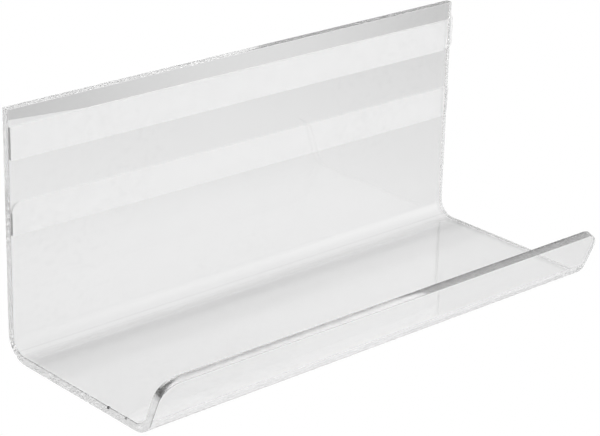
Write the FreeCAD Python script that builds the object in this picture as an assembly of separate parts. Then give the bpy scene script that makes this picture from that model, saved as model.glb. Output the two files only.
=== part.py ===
"""Magazine ledge for a wall: one heat-bent acrylic sheet held up by two strips of foam tape.

The frame is +X along the ledge to the right, +Y towards the wall and +Z up. The origin lies on
the underside of the level shelf, midway along the sheet and midway between its front and back.
"""

import FreeCAD, Part
import math
import os

# The acrylic sheet: lengths in millimetres, angles in degrees
SHEET_LENGTH = 304.8
SHEET_THICKNESS = 4.5
PANEL_HEIGHT = 133.35
REAR_BEND_RADIUS = 9.5
SHELF_FLAT = 90.0
FRONT_BEND_RADIUS = 9.0
LIP_ANGLE = 67.5
LIP_FLAT = 24.3
LIP_CORNER_RADIUS = 10.5
EDGE_BREAK = 0.3

# The tape: a foam core stuck to the rear of the panel, with a release liner on its far side
FOAM_THICKNESS = 1.6
LINER_THICKNESS = 0.2
TAPE_WIDTH = 17.5
LEFT_INSET = 3.1
FOAM_RIGHT_INSET = 1.2
CUT_CORNER = 0.5

# Each strip: its middle height, its droop to the right, how far its pull tab stands out past
# the sheet, and the radius that the scissors left on its upper left and lower right corners
UPPER_STRIP = {"height": 113.6, "droop": 0.17, "tab": 8.3, "left": 0.5, "right": 1.2}
LOWER_STRIP = {"height": 73.5, "droop": 0.25, "tab": 7.4, "left": 5.3, "right": 2.6}

REAR_OUTER_RADIUS = REAR_BEND_RADIUS + SHEET_THICKNESS
FRONT_OUTER_RADIUS = FRONT_BEND_RADIUS + SHEET_THICKNESS
LIP_RISE = math.radians(LIP_ANGLE)
FRONT_REACH = FRONT_OUTER_RADIUS * math.sin(LIP_RISE) + LIP_FLAT * math.cos(LIP_RISE)
SHEET_DEPTH = REAR_OUTER_RADIUS + SHELF_FLAT + FRONT_REACH
BACK_Y = SHEET_DEPTH / 2
LEFT_X = -SHEET_LENGTH / 2
RIGHT_X = SHEET_LENGTH / 2


def section_point(y, z):
    """A point of the sheet's cross-section, at its left end."""
    return FreeCAD.Vector(LEFT_X, y, z)


def bend_point(centre, radius, degrees):
    """A point on a bend, by its angle from straight down, turning towards the front."""
    angle = math.radians(degrees)
    return centre - FreeCAD.Vector(0, radius * math.sin(angle), radius * math.cos(angle))


def bend_arc(centre, radius, start, end):
    """The arc of one bend's surface between two such angles."""
    middle = (start + end) / 2
    return Part.Arc(*(bend_point(centre, radius, angle) for angle in (start, middle, end)))


def sheet_section():
    """The closed outline of the bent sheet, seen from its end."""
    rear = section_point(BACK_Y - REAR_OUTER_RADIUS, REAR_OUTER_RADIUS)
    front = rear + FreeCAD.Vector(0, -SHELF_FLAT, FRONT_OUTER_RADIUS - REAR_OUTER_RADIUS)
    lip_along = FreeCAD.Vector(0, -math.cos(LIP_RISE), math.sin(LIP_RISE)) * LIP_FLAT
    outer_tip = bend_point(front, FRONT_OUTER_RADIUS, LIP_ANGLE) + lip_along
    inner_tip = bend_point(front, FRONT_BEND_RADIUS, LIP_ANGLE) + lip_along
    outer_top = section_point(BACK_Y, PANEL_HEIGHT)
    inner_top = section_point(BACK_Y - SHEET_THICKNESS, PANEL_HEIGHT)

    outer_rear = bend_arc(rear, REAR_OUTER_RADIUS, -90, 0)
    outer_front = bend_arc(front, FRONT_OUTER_RADIUS, 0, LIP_ANGLE)
    inner_front = bend_arc(front, FRONT_BEND_RADIUS, LIP_ANGLE, 0)
    inner_rear = bend_arc(rear, REAR_BEND_RADIUS, 0, -90)
    edges = [
        Part.LineSegment(outer_top, outer_rear.StartPoint),
        outer_rear,
        Part.LineSegment(outer_rear.EndPoint, outer_front.StartPoint),
        outer_front,
        Part.LineSegment(outer_front.EndPoint, outer_tip),
        Part.LineSegment(outer_tip, inner_tip),
        Part.LineSegment(inner_tip, inner_front.StartPoint),
        inner_front,
        Part.LineSegment(inner_front.EndPoint, inner_rear.StartPoint),
        inner_rear,
        Part.LineSegment(inner_rear.EndPoint, inner_top),
        Part.LineSegment(inner_top, outer_top),
    ]
    return Part.Wire([edge.toShape() for edge in edges])


def runs_through_sheet(edge):
    """True for a straight edge as long as the sheet is thick, at one of its square corners."""
    is_line = isinstance(edge.Curve, Part.Line)
    return is_line and math.isclose(edge.Length, SHEET_THICKNESS, abs_tol=EDGE_BREAK / 10)


def lip_corner_edges(solid):
    """The two edges through the sheet at the lip's upper corners."""
    corners = [edge for edge in solid.Edges if runs_through_sheet(edge)]
    return [edge for edge in corners if edge.CenterOfMass.y < 0]


def rim_edges(solid):
    """The edges where the two large surfaces meet the sawn rim."""
    def on_rim(edge):
        middle = edge.CenterOfMass
        at_end = math.isclose(abs(middle.x), RIGHT_X, abs_tol=LIP_CORNER_RADIUS)
        along = edge.Length > SHEET_LENGTH / 2
        top_cut = math.isclose(middle.z, PANEL_HEIGHT, abs_tol=EDGE_BREAK)
        lip_cut = middle.y < -BACK_Y + SHEET_THICKNESS and middle.z > FRONT_OUTER_RADIUS
        return at_end or (along and (top_cut or lip_cut))

    return [edge for edge in solid.Edges if on_rim(edge) and not runs_through_sheet(edge)]


def acrylic_rack():
    """Back panel, level shelf and sloping lip, bent from one sheet with the rim's edges broken."""
    sheet = Part.Face(sheet_section()).extrude(FreeCAD.Vector(SHEET_LENGTH, 0, 0))
    sheet = sheet.makeFillet(LIP_CORNER_RADIUS, lip_corner_edges(sheet))
    return sheet.makeChamfer(EDGE_BREAK, rim_edges(sheet)).Solids[0]


def rounded_strip(left, right, radii, front_y, thickness):
    """A flat strip about z = 0. radii: upper left, upper right, lower right, lower left."""
    half = TAPE_WIDTH / 2
    corners = [(left, half), (right, half), (right, -half), (left, -half)]
    strip = Part.makePolygon([FreeCAD.Vector(x, front_y, z) for x, z in corners + corners[:1]])
    solid = Part.Face(strip).extrude(FreeCAD.Vector(0, thickness, 0))
    for (x, z), radius in zip(corners, radii):
        corner = [edge for edge in solid.Edges if is_corner(edge, x, z)]
        solid = solid.makeFillet(radius, corner)
    return solid.Solids[0]


def is_corner(edge, x, z):
    """True for the edge that runs straight back from the corner at x, z."""
    return all(math.hypot(v.X - x, v.Z - z) < CUT_CORNER / 10 for v in edge.Vertexes)


def place_strip(solid, strip):
    """Moves a strip to its height on the panel and lets its right end droop."""
    solid.rotate(FreeCAD.Vector(), FreeCAD.Vector(0, 1, 0), strip["droop"])
    solid.translate(FreeCAD.Vector(0, 0, strip["height"]))
    return solid


def foam_tape(strip):
    """The foam core of one strip, stuck to the rear of the panel."""
    radii = (strip["left"], CUT_CORNER, CUT_CORNER, CUT_CORNER)
    right = RIGHT_X - FOAM_RIGHT_INSET
    core = rounded_strip(LEFT_X + LEFT_INSET, right, radii, BACK_Y, FOAM_THICKNESS)
    return place_strip(core, strip)


def release_liner(strip):
    """The peel-off liner of one strip, left long at its right end as a pull tab."""
    radii = (strip["left"], CUT_CORNER, strip["right"], CUT_CORNER)
    right = RIGHT_X + strip["tab"]
    rear_y = BACK_Y + FOAM_THICKNESS
    liner = rounded_strip(LEFT_X + LEFT_INSET, right, radii, rear_y, LINER_THICKNESS)
    return place_strip(liner, strip)


def build_nodes():
    """Every separate piece of the ledge, by name."""
    nodes = {"acrylic_rack": acrylic_rack()}
    for name, strip in (("upper", UPPER_STRIP), ("lower", LOWER_STRIP)):
        nodes[f"{name}_foam_tape"] = foam_tape(strip)
        nodes[f"{name}_release_liner"] = release_liner(strip)
    return nodes


os.makedirs("parts", exist_ok=True)
for node, shape in build_nodes().items():
    shape.exportStep(f"parts/{node}.step")
    print(node, "valid" if shape.isValid() else "INVALID", f"{shape.Volume:.0f} mm3", shape.BoundBox)
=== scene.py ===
"""Looks for a clear acrylic magazine ledge with two strips of foam tape behind its panel.

Lengths are metres, in the frame of the CAD model: +X to the right, +Y to the wall, +Z up.
"""

import math

import bmesh
import bpy
from mathutils import Matrix, Vector


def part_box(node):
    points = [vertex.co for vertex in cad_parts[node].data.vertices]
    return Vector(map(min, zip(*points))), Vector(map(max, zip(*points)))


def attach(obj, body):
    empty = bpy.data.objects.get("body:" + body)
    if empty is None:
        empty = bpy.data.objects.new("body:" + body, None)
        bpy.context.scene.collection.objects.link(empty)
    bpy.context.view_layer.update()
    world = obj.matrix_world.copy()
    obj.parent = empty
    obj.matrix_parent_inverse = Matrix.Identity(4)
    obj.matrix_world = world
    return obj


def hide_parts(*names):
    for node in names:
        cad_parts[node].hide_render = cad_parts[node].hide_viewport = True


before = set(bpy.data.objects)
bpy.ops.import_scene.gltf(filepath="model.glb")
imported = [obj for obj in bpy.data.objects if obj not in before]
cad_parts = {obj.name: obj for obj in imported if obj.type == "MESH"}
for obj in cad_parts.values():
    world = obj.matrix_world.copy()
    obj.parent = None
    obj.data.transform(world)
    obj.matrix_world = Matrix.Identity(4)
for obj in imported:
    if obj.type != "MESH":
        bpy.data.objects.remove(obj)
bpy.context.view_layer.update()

MM = 0.001
X_AXIS = Vector((1, 0, 0))
Y_AXIS = Vector((0, 1, 0))
Z_AXIS = Vector((0, 0, 1))

# The bent sheet, as its section runs from the panel's top round to the lip's tip
THICKNESS = 4.5 * MM
REAR_RADIUS = 9.5 * MM
SHELF_FLAT = 90.0 * MM
FRONT_RADIUS = 9.0 * MM
LIP_ANGLE = math.radians(67.5)
LIP_FLAT = 24.3 * MM
LIP_CORNER = 10.5 * MM
RIM_ROUND = 0.3 * MM
BEND_STEP = math.radians(1.5)
CORNER_STEPS = 20
ROUND_STEPS = 3

# How far the inner side lies from the outer one in the flat layout of the sheet, and the
# material slots of the two large sides and of the rim
INNER_SIDE = 1.0
LARGE_SIDE = 0
RIM = 1

# Chips in the left rim's upper edge: how far along the shelf, half width and depth. Each has
# rows at these places across it, in half widths, and slopes this far down the rim, which is cut
# back from this ring on.
NICKS = ((69.4 * MM, 1.1 * MM, 1.0 * MM), (83.6 * MM, 0.9 * MM, 0.6 * MM))
NICK_ROWS = (-1.0, -0.3, 0.4, 1.0)
NICK_REACH = 1.4 * MM
FIRST_NICKED_RING = ROUND_STEPS + 2

# The tape. Each strip has its droop to the right in degrees, and the radii of its upper left
# corner and of its liner's lower right one.
STRIP_WIDTH = 17.5 * MM
GLUE_GAP = 0.03 * MM
CUT_CORNER = 0.5 * MM
STRIPS = {"upper": (0.17, 0.5 * MM, 1.2 * MM), "lower": (0.25, 5.3 * MM, 2.6 * MM)}
TAB_LIFT = 0.5 * MM
STRIP_COLUMNS = 60
ARC_STEPS = 10
WELD_DISTANCE = 0.0001 * MM

# How far the foam's edges bulge, and how much of that at each share of its thickness
FOAM_BULGE = 0.08 * MM
BULGE_PROFILE = ((0.2, 0.7), (0.5, 1.0), (0.8, 0.7))

# The material slots of a strip's front, back, sides and left end, which gets painted shade. Its right
# end is a side.
FRONT, BACK, SIDE, LEFT_END = range(4)


# ---------------------------------------------------------------- the bent sheet

class Station:
    """One row across the sheet, at its left end: the outer point, heading and inward normal.

    The lip's corner takes inset off the row's end and turns the end's direction.
    """

    def __init__(self, place, heading, inward, inset=0.0, turn=0.0):
        self.place, self.heading, self.inward = place, heading, inward
        self.inset, self.turn = inset, turn

    def moved(self, distance, inset=0.0, turn=0.0):
        """A station further along a flat stretch."""
        place = self.place + self.heading * distance
        return Station(place, self.heading, self.inward, inset, turn)


def bend(start, inner_radius, angle):
    """The stations round a bend towards the sheet's inner side, without the first."""
    radius = inner_radius + THICKNESS
    centre = start.place + start.inward * radius
    count = round(angle / BEND_STEP)
    for i in range(1, count + 1):
        spin = Matrix.Rotation(-angle * i / count, 3, X_AXIS)
        inward = spin @ start.inward
        yield Station(centre - inward * radius, spin @ start.heading, inward)


def shelf_stations(start):
    """The stations along the flat shelf, some of them across each nick, without the first."""
    for along, half_width, _ in NICKS:
        for across in NICK_ROWS:
            yield start.moved(along + across * half_width)
    yield start.moved(SHELF_FLAT)


def sheet_stations(low, high):
    """Every station from the panel's top to the lip's tip, and the first one on the shelf."""
    outer = REAR_RADIUS + THICKNESS
    rows = [Station(Vector((low.x, high.y, high.z)), -Z_AXIS, -Y_AXIS)]
    rows.append(rows[-1].moved(high.z - low.z - outer))
    rows += bend(rows[-1], REAR_RADIUS, math.pi / 2)
    shelf_start = rows[-1]
    rows += shelf_stations(shelf_start)
    rows += bend(rows[-1], FRONT_RADIUS, LIP_ANGLE)
    root = rows[-1]
    for i in range(CORNER_STEPS + 1):
        turn = math.pi / 2 * i / CORNER_STEPS
        along = LIP_FLAT - LIP_CORNER * (1 - math.sin(turn))
        rows.append(root.moved(along, LIP_CORNER * (1 - math.cos(turn)), turn))
    return rows, shelf_start


def rim_rings():
    """The rings over the rim: inset from its face, depth from the outer side, normal's angle.

    Between the two rounded edges lies one more, where the nicks begin.
    """
    quarter = [math.pi / 2 * i / ROUND_STEPS for i in range(ROUND_STEPS + 1)]
    outer = [(RIM_ROUND * (1 - math.sin(a)), RIM_ROUND * (1 - math.cos(a)), a) for a in quarter]
    inner = [(inset, THICKNESS - depth, math.pi - a) for inset, depth, a in reversed(outer)]
    return outer + [(0.0, THICKNESS - NICK_REACH, math.pi / 2)] + inner


def nick_depth(station, shelf_start):
    """How deep a nick is at a station of the left rim. Only the shelf, which is level, has any."""
    along = (station.place - shelf_start.place).dot(shelf_start.heading)
    if abs(station.place.z - shelf_start.place.z) > RIM_ROUND:
        return 0.0
    return max(depth * max(0.0, 1 - abs(along - middle) / half)
               for middle, half, depth in NICKS)


class Surface:
    """Faces with their material slots, corner normals and flat positions on the sheet."""

    def __init__(self):
        self.points, self.faces, self.normals = [], [], []
        self.slots, self.spots = [], []

    def facing(self, corners):
        """The way that a face with these four corners faces."""
        a, b, c, d = (self.points[i] for i in corners)
        return (c - a).cross(d - b).normalized()

    def facet(self, corners, wanted):
        """The face's own normal at each corner, on the side that the wanted ones point to."""
        normal = self.facing(corners)
        if normal.dot(sum(wanted, Vector())) < 0:
            normal = -normal
        return [normal] * len(corners)

    def add(self, corners, wanted, slot, spots):
        """Adds a face, turned so that it faces the way its wanted normals point."""
        if self.facing(corners).dot(sum(wanted, Vector())) < 0:
            corners, wanted, spots = corners[::-1], wanted[::-1], spots[::-1]
        self.faces.append(corners)
        self.normals.extend(wanted)
        self.slots.append(slot)
        self.spots.extend(spots)


def distances(steps):
    """Running total of the steps, from zero."""
    totals = [0.0]
    for step in steps:
        totals.append(totals[-1] + step)
    return totals


def station_loop(surface, rows, shelf_start, width):
    """Sets the rings' points at every station, down the left end and back up the right one.

    The loop lists each station with its first point's number and its way out of the sheet.
    """
    rings = rim_rings()
    loop = []
    for side in (1, -1):
        for row in rows[::side]:
            out = -X_AXIS * side * math.cos(row.turn) + row.heading * math.sin(row.turn)
            mitre = out - row.heading if row is rows[0] else out
            base = row.place + X_AXIS * (row.inset if side == 1 else width - row.inset)
            nick = nick_depth(row, shelf_start) if side == 1 else 0.0
            loop.append((len(surface.points), row, out))
            for number, (inset, depth, _) in enumerate(rings):
                chipped = nick if number >= FIRST_NICKED_RING else 0.0
                surface.points.append(base - mitre * (inset + chipped) + row.inward * depth)
    return loop


def add_large_sides(surface, loop, around):
    """The outer and the inner side, as strips from the left end to the right one."""
    last = len(rim_rings()) - 1
    for i in range(len(loop) // 2 - 1):
        mirror = len(loop) - 1 - i
        numbers = (i, i + 1, mirror - 1, mirror)
        lengths = (around[i], around[i + 1], around[i + 1], around[i])
        for ring, sign, shift in ((0, -1, 0.0), (last, 1, INNER_SIDE)):
            corners = [loop[n][0] + ring for n in numbers]
            wanted = [loop[n][1].inward * sign for n in numbers]
            spots = [(surface.points[c].x, u + shift) for c, u in zip(corners, lengths)]
            surface.add(corners, wanted, LARGE_SIDE, spots)


def rim_normal(station, out, angle):
    """The rim's normal at an angle from the outer side's."""
    return out * math.sin(angle) - station.inward * math.cos(angle)


def add_rim(surface, loop, around, shelf_start):
    """The sawn rim between each two stations, from the outer side to the inner one."""
    rings = rim_rings()
    through = distances(math.dist(a[:2], b[:2]) for a, b in zip(rings, rings[1:]))
    for i, (here, row, out) in enumerate(loop):
        there, next_row, next_out = loop[(i + 1) % len(loop)]
        if i == len(loop) - 1:
            # The panel's top has square corners, so the rim along it faces straight up
            out = next_out = -row.heading
        on_left = i < len(loop) // 2
        nick = max(nick_depth(row, shelf_start), nick_depth(next_row, shelf_start))
        for k in range(len(rings) - 1):
            low, high = rings[k][2], rings[k + 1][2]
            wanted = [rim_normal(row, out, low), rim_normal(next_row, next_out, low),
                      rim_normal(next_row, next_out, high), rim_normal(row, out, high)]
            corners = [here + k, there + k, there + k + 1, here + k + 1]
            if on_left and nick > 0:
                wanted = surface.facet(corners, wanted)
            u, next_u = around[i:i + 2]
            v, next_v = through[k:k + 2]
            spots = [(u, v), (next_u, v), (next_u, next_v), (u, next_v)]
            surface.add(corners, wanted, RIM, spots)


def sheet_surface(low, high):
    """The whole sheet: its two large sides, and the sawn rim between them."""
    rows, shelf_start = sheet_stations(low, high)
    surface = Surface()
    loop = station_loop(surface, rows, shelf_start, high.x - low.x)
    outline = [surface.points[first] for first, _, _ in loop]
    next_points = outline[1:] + outline[:1]
    around = distances((there - here).length for here, there in zip(outline, next_points))
    add_large_sides(surface, loop, around)
    add_rim(surface, loop, around, shelf_start)
    return surface


def new_object(name, points, faces, slots):
    """A mesh object from lists of points and faces, with each face's material slot."""
    mesh = bpy.data.meshes.new(name)
    mesh.from_pydata(points, [], faces)
    mesh.polygons.foreach_set("material_index", slots)
    mesh.update()
    piece = bpy.data.objects.new(name, mesh)
    bpy.context.scene.collection.objects.link(piece)
    return piece


def make_sheet():
    """The clear sheet. Lamps shine straight through it, and light from all round is bent by it."""
    surface = sheet_surface(*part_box("acrylic_rack"))
    sheet = new_object("bent_sheet", surface.points, surface.faces, surface.slots)
    mesh = sheet.data
    mesh.polygons.foreach_set("use_smooth", [True] * len(mesh.polygons))
    mesh.normals_split_custom_set(surface.normals)
    flat = mesh.uv_layers.new(name="flat_sheet")
    flat.uv.foreach_set("vector", [number for spot in surface.spots for number in spot])
    mesh.materials.append(clear_face_material())
    mesh.materials.append(sawn_rim_material())
    sheet.visible_shadow = False
    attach(sheet, "root")
    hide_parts("acrylic_rack")


# ---------------------------------------------------------------- the tape

class Strip:
    """One strip's outline, from the box of its CAD node, its droop and its corner radii."""

    def __init__(self, node, droop, radii):
        self.low, self.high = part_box(node)
        self.droop = math.radians(droop)
        self.radii = radii
        middle = (self.low + self.high) / 2
        self.height = middle.z + middle.x * math.tan(self.droop)

    def columns(self):
        """The x, top and bottom of the strip at each column, from left to right."""
        left, right = self.low.x, self.high.x
        upper_left, upper_right, lower_right, lower_left = self.radii
        places = {left + (right - left) * i / STRIP_COLUMNS for i in range(STRIP_COLUMNS + 1)}
        for i in range(ARC_STEPS + 1):
            taken = 1 - math.cos(math.pi / 2 * i / ARC_STEPS)
            places |= {left + upper_left * taken, left + lower_left * taken}
            places |= {right - upper_right * taken, right - lower_right * taken}
        for x in sorted(places):
            above = max(cut_off(x - left, upper_left), cut_off(right - x, upper_right))
            below = max(cut_off(x - left, lower_left), cut_off(right - x, lower_right))
            yield x, STRIP_WIDTH / 2 - above, below - STRIP_WIDTH / 2

    def place(self, x, along, depth):
        """A point of the strip, from its flat x and height and its depth behind the front."""
        rise, run = math.cos(self.droop), math.sin(self.droop)
        return Vector((x + along * run, self.low.y + depth, self.height + along * rise - x * run))


def cut_off(distance, radius):
    """How much a rounded corner takes off an edge at this distance from the strip's end."""
    if distance >= radius:
        return 0.0
    return radius - math.sqrt(max(0.0, radius ** 2 - (radius - distance) ** 2))


def weld(mesh):
    """Joins the points that fall together at the corners, and turns every face outward."""
    shape = bmesh.new()
    shape.from_mesh(mesh)
    bmesh.ops.remove_doubles(shape, verts=shape.verts, dist=WELD_DISTANCE)
    bmesh.ops.recalc_face_normals(shape, faces=shape.faces)
    shape.to_mesh(mesh)
    shape.free()


def lofted_strip(name, strip, profile, materials, lift=lambda x: 0.0):
    """A strip lofted from end to end. profile is its side: depths, and how far each bulges."""
    columns = list(strip.columns())
    levels = len(profile)
    ring = 2 * levels
    points, faces, slots = [], [], []
    for x, top, bottom in columns:
        points += [strip.place(x, top + bulge, depth + lift(x)) for depth, bulge in profile]
        points += [strip.place(x, bottom - bulge, depth + lift(x)) for depth, bulge in profile[::-1]]
    for i in range(len(columns) - 1):
        for k in range(ring):
            a, b = i * ring + k, i * ring + (k + 1) % ring
            faces.append([a, b, b + ring, a + ring])
            slots.append({ring - 1: FRONT, levels - 1: BACK}.get(k, SIDE))
    for first, slot in ((0, LEFT_END), ((len(columns) - 1) * ring, SIDE)):
        for k in range(levels - 1):
            faces.append([first + k, first + k + 1, first + ring - 2 - k, first + ring - 1 - k])
            slots.append(slot)
    piece = new_object(name, points, faces, slots)
    weld(piece.data)
    for material in materials:
        piece.data.materials.append(material)
    return piece


def make_foam(name, droop, left_radius, face, slit, shaded_end):
    """The foam core of one strip, bulging a little where it was squeezed on. Returns its right end."""
    strip = Strip(f"{name}_foam_tape", droop, (left_radius, CUT_CORNER, CUT_CORNER, CUT_CORNER))
    thick = strip.high.y - strip.low.y
    bulges = [(thick * depth, FOAM_BULGE * share) for depth, share in BULGE_PROFILE]
    profile = [(GLUE_GAP, 0.0), *bulges, (thick, 0.0)]
    foam = lofted_strip(f"{name}_foam", strip, profile, (face, face, slit, shaded_end))
    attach(foam, "root")
    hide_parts(f"{name}_foam_tape")
    return strip.high.x


def make_liner(name, droop, left_radius, right_radius, foam_end, paper):
    """The release liner of one strip. Its pull tab stands a little off the foam's line."""
    strip = Strip(f"{name}_release_liner", droop, (left_radius, CUT_CORNER, right_radius, CUT_CORNER))
    thick = strip.high.y - strip.low.y
    tab = strip.high.x - foam_end

    def lift(x):
        return TAB_LIFT * max(0.0, (x - foam_end) / tab) ** 2

    profile = [(0.0, 0.0), (thick, 0.0)]
    liner = lofted_strip(f"{name}_liner", strip, profile, (paper, paper, paper, paper), lift)
    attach(liner, "root")
    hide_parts(f"{name}_release_liner")


def make_tape():
    """Both strips of tape."""
    # The foam's left end is painted darker than its other cut sides, as painted shade
    face, slit, shaded_end = foam_face_material(), slit_foam_material(), shaded_left_end_material()
    paper = release_paper_material()
    for name, (droop, left_radius, right_radius) in STRIPS.items():
        foam_end = make_foam(name, droop, left_radius, face, slit, shaded_end)
        make_liner(name, droop, left_radius, right_radius, foam_end, paper)


# ---------------------------------------------------------------- materials

# Sizes are those of a texture's grains. A RANGE is the part of a texture's values over which
# the look goes from one end to the other.
WHOLE_RANGE = (0.0, 1.0)

# The acrylic's refractive index, how light the clear material is, and the tint of its stains and of
# the painted shade lines at the rear bend
ACRYLIC_INDEX = 1.49
CLEAR = 0.995
STAIN_AND_SHADE_TINT = 0.8

# Smears on the large sides, drawn out from the panel's top towards the lip. They scatter this
# share of the light.
SMEAR_SCALE = (1.0, 0.5, 1.0)
SMEAR_SIZE = 25 * MM
SMEAR_DETAIL = 5.0
SMEAR_RANGE = (0.5, 0.75)
SMUDGE = 0.012

# Blots of stain on the large sides, in some regions only, and how strong they are
STAIN = 0.2
STAIN_SIZE = 4 * MM
STAIN_DETAIL = 3.0
STAIN_RANGE = (0.52, 0.66)
STAIN_REGION = 90 * MM
REGION_RANGE = (0.48, 0.62)

# Painted shade: a darker double line tinted into the rear bend, standing in for the dark lines that
# the bend's refraction shows. How far its middle lies from the panel's top round the outer side, how
# far each line lies from the middle, and a line's half width
BEND_SHADE_LINE = 135.6 * MM
BEND_SHADE_SPREAD = 2.4 * MM
BEND_SHADE_WIDTH = 0.5 * MM

# Saw marks on the rim, drawn out across its thickness: their roughness, how much of the light
# passes between them and in them, and how deep they are
SAW_SCALE = (1.0, 0.15, 1.0)
SAW_SIZE = 1.1 * MM
SAW_DETAIL = 3.0
ROUGH_RANGE = (0.45, 0.7)
RIM_ROUGH = (0.0, 0.015)
CLARITY_RANGE = (0.35, 0.65)
RIM_CLARITY = (0.975, 0.92)
RIM_BUMP = 0.0006 * MM

# The tape's adhesive face: its greys, where it has wetted out or not, and its fine grain
FACE_WHITE = 0.93
FACE_ROUGHNESS = 0.5
PATCH_SIZE = 6 * MM
PATCH_DETAIL = 3.0
PATCH_RANGE = (0.35, 0.65)
PATCH_GREYS = (0.918, 0.934)
GRAIN_SIZE = 0.5 * MM
GRAIN_DEPTH = 0.02 * MM

# The foam's cut sides: their open cells, whose hollows are painted darker as painted shade, and the
# greys of the long sides and right end and of the left end, which is painted darker all over as
# painted shade from the dim left of the studio
FOAM_ROUGHNESS = 0.9
CELL_SIZE = 0.35 * MM
CELL_RANGE = (0.1, 0.7)
CELL_DEPTH = 0.08 * MM
SLIT_GREYS = (0.7, 0.9)
LEFT_END_SHADE_GREYS = (0.3, 0.55)

# The release paper: its greys, and its fibres, which are drawn out along the strip
PAPER_WHITE = 0.93
PAPER_ROUGHNESS = 0.45
PAPER_GREYS = (0.915, 0.94)
FIBRE_SCALE = (1.0, 1.0, 2.5)
FIBRE_SIZE = 1.2 * MM
FIBRE_DETAIL = 5.0
FIBRE_RANGE = (0.3, 0.7)
FIBRE_DEPTH = 0.01 * MM


def grey(level):
    """An opaque grey."""
    return (level, level, level, 1)


def new_tree(block):
    """The emptied nodes and the links of a material's or world's node tree."""
    block.use_nodes = True
    block.node_tree.nodes.clear()
    return block.node_tree.nodes, block.node_tree.links


def new_surface(name, level, roughness):
    """A material with one Principled shader: the material, its nodes, links and shader."""
    material = bpy.data.materials.new(name)
    nodes, links = new_tree(material)
    shader = nodes.new("ShaderNodeBsdfPrincipled")
    shader.inputs["Base Color"].default_value = grey(level)
    shader.inputs["Roughness"].default_value = roughness
    output = nodes.new("ShaderNodeOutputMaterial")
    links.new(shader.outputs["BSDF"], output.inputs["Surface"])
    return material, nodes, links, shader


def calculate(nodes, links, operation, *values):
    """One step of arithmetic on sockets or numbers."""
    step = nodes.new("ShaderNodeMath")
    step.operation = operation
    for socket, value in zip(step.inputs, values):
        if isinstance(value, (int, float)):
            socket.default_value = value
        else:
            links.new(value, socket)
    return step.outputs["Value"]


def coordinates(nodes, links, kind, scale=(1, 1, 1)):
    """Texture coordinates of one kind, scaled along each axis."""
    mapping = nodes.new("ShaderNodeMapping")
    mapping.inputs["Scale"].default_value = scale
    links.new(nodes.new("ShaderNodeTexCoord").outputs[kind], mapping.inputs["Vector"])
    return mapping.outputs["Vector"]


def noise(nodes, links, where, size, detail=2.0):
    """Fractal noise whose coarsest grains are about as large as size."""
    texture = nodes.new("ShaderNodeTexNoise")
    texture.inputs["Scale"].default_value = 1 / size
    texture.inputs["Detail"].default_value = detail
    links.new(where, texture.inputs["Vector"])
    return texture.outputs["Fac"]


def remap(nodes, links, value, source, target):
    """The value moved from one range to another, and held at its ends."""
    step = nodes.new("ShaderNodeMapRange")
    for name, number in zip(("From Min", "From Max", "To Min", "To Max"), (*source, *target)):
        step.inputs[name].default_value = number
    links.new(value, step.inputs["Value"])
    return step.outputs["Result"]


def shades(nodes, links, value, source, first, second):
    """A grey between two, by where the value lies in its range."""
    mix = nodes.new("ShaderNodeMix")
    mix.data_type = "RGBA"
    mix.inputs["A"].default_value = grey(first)
    mix.inputs["B"].default_value = grey(second)
    links.new(remap(nodes, links, value, source, WHOLE_RANGE), mix.inputs["Factor"])
    return mix.outputs["Result"]


def add_bump(nodes, links, height, depth, shader):
    """Disturbs a shader's normal by a height from 0 to 1, which stands for depth in metres."""
    bump = nodes.new("ShaderNodeBump")
    bump.inputs["Strength"].default_value = 1.0
    bump.inputs["Distance"].default_value = depth
    links.new(height, bump.inputs["Height"])
    links.new(bump.outputs["Normal"], shader.inputs["Normal"])


def acrylic(name):
    """A clear, polished material that bends light as acrylic does."""
    material, nodes, links, shader = new_surface(name, CLEAR, 0.0)
    shader.inputs["IOR"].default_value = ACRYLIC_INDEX
    shader.inputs["Transmission Weight"].default_value = 1.0
    return material, nodes, links, shader


def painted_bend_shade_lines(nodes, links, where):
    """Painted shade: the darker double line inside the rear bend. 1 in the middle of each line,
    falling to 0 beside it.
    """
    split = nodes.new("ShaderNodeSeparateXYZ")
    links.new(where, split.inputs["Vector"])
    along = calculate(nodes, links, "SUBTRACT", split.outputs["Y"], INNER_SIDE + BEND_SHADE_LINE)
    from_middle = calculate(nodes, links, "ABSOLUTE", along)
    past_line = calculate(nodes, links, "SUBTRACT", from_middle, BEND_SHADE_SPREAD)
    off_line = calculate(nodes, links, "ABSOLUTE", past_line)
    return remap(nodes, links, off_line, (0.0, BEND_SHADE_WIDTH), (1.0, 0.0))


def stain_blots(nodes, links, where):
    """Blots of stain, from 0 up to their strength."""
    region_noise = noise(nodes, links, where, STAIN_REGION)
    regions = remap(nodes, links, region_noise, REGION_RANGE, (0.0, STAIN))
    blot_noise = noise(nodes, links, where, STAIN_SIZE, STAIN_DETAIL)
    blots = remap(nodes, links, blot_noise, STAIN_RANGE, WHOLE_RANGE)
    return calculate(nodes, links, "MULTIPLY", regions, blots)


def clear_face_material():
    """The sheet's two large sides: clear, with smears, stains and a double line of painted shade at
    the rear bend.
    """
    material, nodes, links, shader = acrylic("clear_acrylic_face")
    where = coordinates(nodes, links, "UV")
    wiped = coordinates(nodes, links, "UV", SMEAR_SCALE)
    smears = noise(nodes, links, wiped, SMEAR_SIZE, SMEAR_DETAIL)
    clarity = remap(nodes, links, smears, SMEAR_RANGE, (1.0, 1.0 - SMUDGE))
    links.new(clarity, shader.inputs["Transmission Weight"])
    shade_lines = painted_bend_shade_lines(nodes, links, where)
    stains = stain_blots(nodes, links, where)
    # Stains and the double line of painted shade at the rear bend darken the clear colour
    marks = calculate(nodes, links, "MAXIMUM", shade_lines, stains)
    colour = shades(nodes, links, marks, WHOLE_RANGE, CLEAR, STAIN_AND_SHADE_TINT)
    links.new(colour, shader.inputs["Base Color"])
    return material


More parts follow.
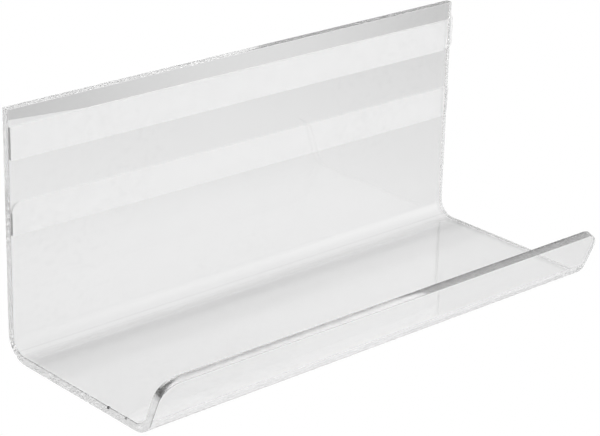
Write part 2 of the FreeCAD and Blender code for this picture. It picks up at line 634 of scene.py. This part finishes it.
def sawn_rim_material():
    """The sawn and lightly polished rim: clear, with hazy saw marks across its thickness."""
    material, nodes, links, shader = acrylic("sawn_acrylic_rim")
    where = coordinates(nodes, links, "UV", SAW_SCALE)
    marks = noise(nodes, links, where, SAW_SIZE, SAW_DETAIL)
    roughness = remap(nodes, links, marks, ROUGH_RANGE, RIM_ROUGH)
    clarity = remap(nodes, links, marks, CLARITY_RANGE, RIM_CLARITY)
    links.new(roughness, shader.inputs["Roughness"])
    links.new(clarity, shader.inputs["Transmission Weight"])
    add_bump(nodes, links, marks, RIM_BUMP, shader)
    return material


def foam_face_material():
    """The tape's adhesive face behind the panel: white, mottled where it has wetted out."""
    material, nodes, links, shader = new_surface("foam_adhesive_face", FACE_WHITE, FACE_ROUGHNESS)
    where = coordinates(nodes, links, "Object")
    patches = noise(nodes, links, where, PATCH_SIZE, PATCH_DETAIL)
    colour = shades(nodes, links, patches, PATCH_RANGE, *PATCH_GREYS)
    links.new(colour, shader.inputs["Base Color"])
    add_bump(nodes, links, noise(nodes, links, where, GRAIN_SIZE), GRAIN_DEPTH, shader)
    return material


def foam_side(name, cell_shade, light):
    """A cut side of the foam, with its open cells, whose hollows are painted darker as painted shade.
    """
    material, nodes, links, shader = new_surface(name, light, FOAM_ROUGHNESS)
    where = coordinates(nodes, links, "Object")
    cells = nodes.new("ShaderNodeTexVoronoi")
    cells.inputs["Scale"].default_value = 1 / CELL_SIZE
    links.new(where, cells.inputs["Vector"])
    depth = remap(nodes, links, cells.outputs["Distance"], CELL_RANGE, WHOLE_RANGE)
    # Painted shade: the deeper into a cell, the darker its grey
    colour = shades(nodes, links, depth, WHOLE_RANGE, cell_shade, light)
    links.new(colour, shader.inputs["Base Color"])
    add_bump(nodes, links, depth, CELL_DEPTH, shader)
    return material


def slit_foam_material():
    """The long sides and the right end of the foam, slit clean at the factory."""
    return foam_side("foam_slit_side", *SLIT_GREYS)


def shaded_left_end_material():
    """The left end of the foam, painted darker all over than the other cut sides: painted shade from
    the dim left of the studio.
    """
    return foam_side("foam_left_end_painted_shade", *LEFT_END_SHADE_GREYS)


def release_paper_material():
    """The coated release paper: a satin white with faint fibres."""
    material, nodes, links, shader = new_surface("release_paper", PAPER_WHITE, PAPER_ROUGHNESS)
    where = coordinates(nodes, links, "Object", FIBRE_SCALE)
    fibres = noise(nodes, links, where, FIBRE_SIZE, FIBRE_DETAIL)
    colour = shades(nodes, links, fibres, FIBRE_RANGE, *PAPER_GREYS)
    links.new(colour, shader.inputs["Base Color"])
    add_bump(nodes, links, fibres, FIBRE_DEPTH, shader)
    return material


# ---------------------------------------------------------------- studio

# The camera: its heading from +Y, its tilt down and its roll in degrees, its place, its focal
# length in millimetres and how far its frame is shifted
CAMERA_AZIMUTH = 41.691
CAMERA_ELEVATION = 21.796
CAMERA_ROLL = 1.293
CAMERA_PLACE = (-0.7125, -0.7706, 0.48005)
CAMERA_LENS = 130.56
CAMERA_SHIFT = (0.0314, -0.01035)
CAMERA_NEAR = 0.01
CAMERA_FAR = 50

# The table: how pale it is, how far back its edge lies at x = 0 and how much nearer it comes
# with each metre to the right, and how far the ledge stands above it
TABLE = 0.85
TABLE_BACK = 0.371
TABLE_SKEW = 0.194
FLOOR_GAP = 0.2 * MM

# How far the table and the backdrop reach, and where the backdrop stands
STAGE_REACH = 3.0
BACKDROP_Y = 1.2
BACKDROP_BOTTOM = -2.0
BACKDROP_TOP = -0.05

# The backdrop's grey, and a lighter patch on it: how much lighter, where, and how wide
BACKDROP = 0.47
BACKDROP_GLOW = 0.25
GLOW_X = 1.0
GLOW_WIDTH = 0.24

# The light from all round, and soft lobes in it: heading in degrees from +Y towards +X,
# elevation in degrees, tightness and level
AMBIENT = 0.375
LOBES = (
    (120, 12, 10, 2.5),
    (60, 12, 10, 0.6),
    (-30, 50, 10, 0.25),
    (80, 50, 10, 0.65),
)

# The softboxes: name, place, what they aim at, the length of a side, and power in watts
LAMPS = (
    ("key", (-0.08, 0.28, 0.97), (0, 0, 0), 0.2, 3.3),
    ("front", (0.3, -1.2, 0.5), (0, 0, 0.05), 0.6, 4.9),
    ("fill", (-0.5, 0.5, 0.8), (0, 0, 0), 0.6, 0.45),
)

# Light crosses the sheet's thickness dozens of times on its way from one end to the other
BOUNCES = 64


def make_camera():
    """The camera, which looks down on the ledge from its front left."""
    azimuth, elevation = math.radians(CAMERA_AZIMUTH), math.radians(CAMERA_ELEVATION)
    back = Vector((-math.sin(azimuth) * math.cos(elevation),
                   -math.cos(azimuth) * math.cos(elevation), math.sin(elevation)))
    right = Z_AXIS.cross(back).normalized()
    level = Matrix((right, back.cross(right), back)).transposed()
    turned = level @ Matrix.Rotation(math.radians(CAMERA_ROLL), 3, "Z")
    camera = bpy.data.objects.new("camera", bpy.data.cameras.new("camera"))
    camera.matrix_world = Matrix.Translation(CAMERA_PLACE) @ turned.to_4x4()
    camera.data.lens = CAMERA_LENS
    camera.data.shift_x, camera.data.shift_y = CAMERA_SHIFT
    camera.data.clip_start = CAMERA_NEAR
    camera.data.clip_end = CAMERA_FAR
    bpy.context.scene.collection.objects.link(camera)
    bpy.context.scene.camera = camera


def seen_directly(nodes, links, directly, otherwise, output):
    """Shows the camera one shader, and gloss, glass and diffuse light another."""
    mix = nodes.new("ShaderNodeMixShader")
    links.new(nodes.new("ShaderNodeLightPath").outputs["Is Camera Ray"], mix.inputs["Fac"])
    links.new(otherwise.outputs[0], mix.inputs[1])
    links.new(directly.outputs[0], mix.inputs[2])
    links.new(mix.outputs["Shader"], output.inputs["Surface"])


def light_lobe(nodes, links, heading, azimuth, elevation, tightness):
    """A soft spot of light: 1 in its own direction, and falling away all round it."""
    across, rise = math.radians(azimuth), math.radians(elevation)
    dot = nodes.new("ShaderNodeVectorMath")
    dot.operation = "DOT_PRODUCT"
    dot.inputs[1].default_value = (math.sin(across) * math.cos(rise),
                                   math.cos(across) * math.cos(rise), math.sin(rise))
    links.new(heading, dot.inputs[0])
    near = calculate(nodes, links, "MULTIPLY_ADD", dot.outputs["Value"], tightness, -tightness)
    return calculate(nodes, links, "EXPONENT", near)


def make_world():
    """The studio's soft light from all round, which the camera sees as plain white."""
    world = bpy.data.worlds.new("studio")
    bpy.context.scene.world = world
    world.cycles.sampling_method = "NONE"
    nodes, links = new_tree(world)
    white = nodes.new("ShaderNodeBackground")
    white.inputs["Color"].default_value = grey(1)
    room = nodes.new("ShaderNodeBackground")
    heading = nodes.new("ShaderNodeTexCoord").outputs["Generated"]
    total = AMBIENT
    for azimuth, elevation, tightness, level in LOBES:
        lobe = light_lobe(nodes, links, heading, azimuth, elevation, tightness)
        total = calculate(nodes, links, "MULTIPLY_ADD", lobe, level, total)
    links.new(total, room.inputs["Strength"])
    seen_directly(nodes, links, white, room, nodes.new("ShaderNodeOutputWorld"))


def stage_plane(name, corners):
    """A plane of the stage with an empty material, whose nodes, links and output it returns."""
    plane = new_object(name, corners, [[0, 1, 2, 3]], [0])
    material = bpy.data.materials.new(name)
    nodes, links = new_tree(material)
    plane.data.materials.append(material)
    return nodes, links, nodes.new("ShaderNodeOutputMaterial")


def white_glow(nodes):
    """A plain white light."""
    glow = nodes.new("ShaderNodeEmission")
    glow.inputs["Color"].default_value = grey(1)
    return glow


def make_floor():
    """A pale table top. The camera sees it as white as the studio behind it."""
    left, right = -STAGE_REACH, STAGE_REACH
    back_left, back_right = (TABLE_BACK - TABLE_SKEW * x for x in (left, right))
    corners = [(left, -STAGE_REACH), (right, -STAGE_REACH), (right, back_right), (left, back_left)]
    nodes, links, output = stage_plane("floor", [Vector((x, y, -FLOOR_GAP)) for x, y in corners])
    paper = nodes.new("ShaderNodeBsdfDiffuse")
    paper.inputs["Color"].default_value = grey(TABLE)
    seen_directly(nodes, links, white_glow(nodes), paper, output)


def backdrop_level(nodes, links):
    """The backdrop's grey, with a bell curve from left to right for its lighter patch."""
    split = nodes.new("ShaderNodeSeparateXYZ")
    links.new(coordinates(nodes, links, "Object"), split.inputs["Vector"])
    offset = calculate(nodes, links, "SUBTRACT", split.outputs["X"], GLOW_X)
    widths = calculate(nodes, links, "DIVIDE", offset, GLOW_WIDTH)
    distance = calculate(nodes, links, "ABSOLUTE", widths)
    squared = calculate(nodes, links, "POWER", distance, 2.0)
    falling = calculate(nodes, links, "MULTIPLY", squared, -0.5)
    patch = calculate(nodes, links, "EXPONENT", falling)
    return calculate(nodes, links, "MULTIPLY_ADD", patch, BACKDROP_GLOW, BACKDROP)


def make_backdrop():
    """The grey wall below and beyond the table, which only shows through the acrylic."""
    left, right = -STAGE_REACH, STAGE_REACH
    bottom, top = BACKDROP_BOTTOM, BACKDROP_TOP
    corners = [(left, bottom), (right, bottom), (right, top), (left, top)]
    nodes, links, output = stage_plane("backdrop", [Vector((x, BACKDROP_Y, z)) for x, z in corners])
    wall = white_glow(nodes)
    links.new(backdrop_level(nodes, links), wall.inputs["Strength"])
    seen_directly(nodes, links, nodes.new("ShaderNodeBsdfTransparent"), wall, output)


def make_lamp(name, place, aim, size, power):
    """A square softbox."""
    light = bpy.data.lights.new(name, "AREA")
    light.size = size
    light.energy = power
    light.cycles.use_multiple_importance_sampling = False
    lamp = bpy.data.objects.new(name, light)
    lamp.location = place
    lamp.rotation_euler = (Vector(place) - Vector(aim)).to_track_quat("Z", "Y").to_euler()
    bpy.context.scene.collection.objects.link(lamp)


make_camera()
make_sheet()
make_tape()
make_world()
make_floor()
make_backdrop()
for lamp in LAMPS:
    make_lamp(*lamp)

scene = bpy.context.scene
scene.view_settings.view_transform = "Standard"
scene.cycles.max_bounces = BOUNCES
scene.cycles.glossy_bounces = BOUNCES
scene.cycles.transmission_bounces = BOUNCES
scene.cycles.blur_glossy = 0.0
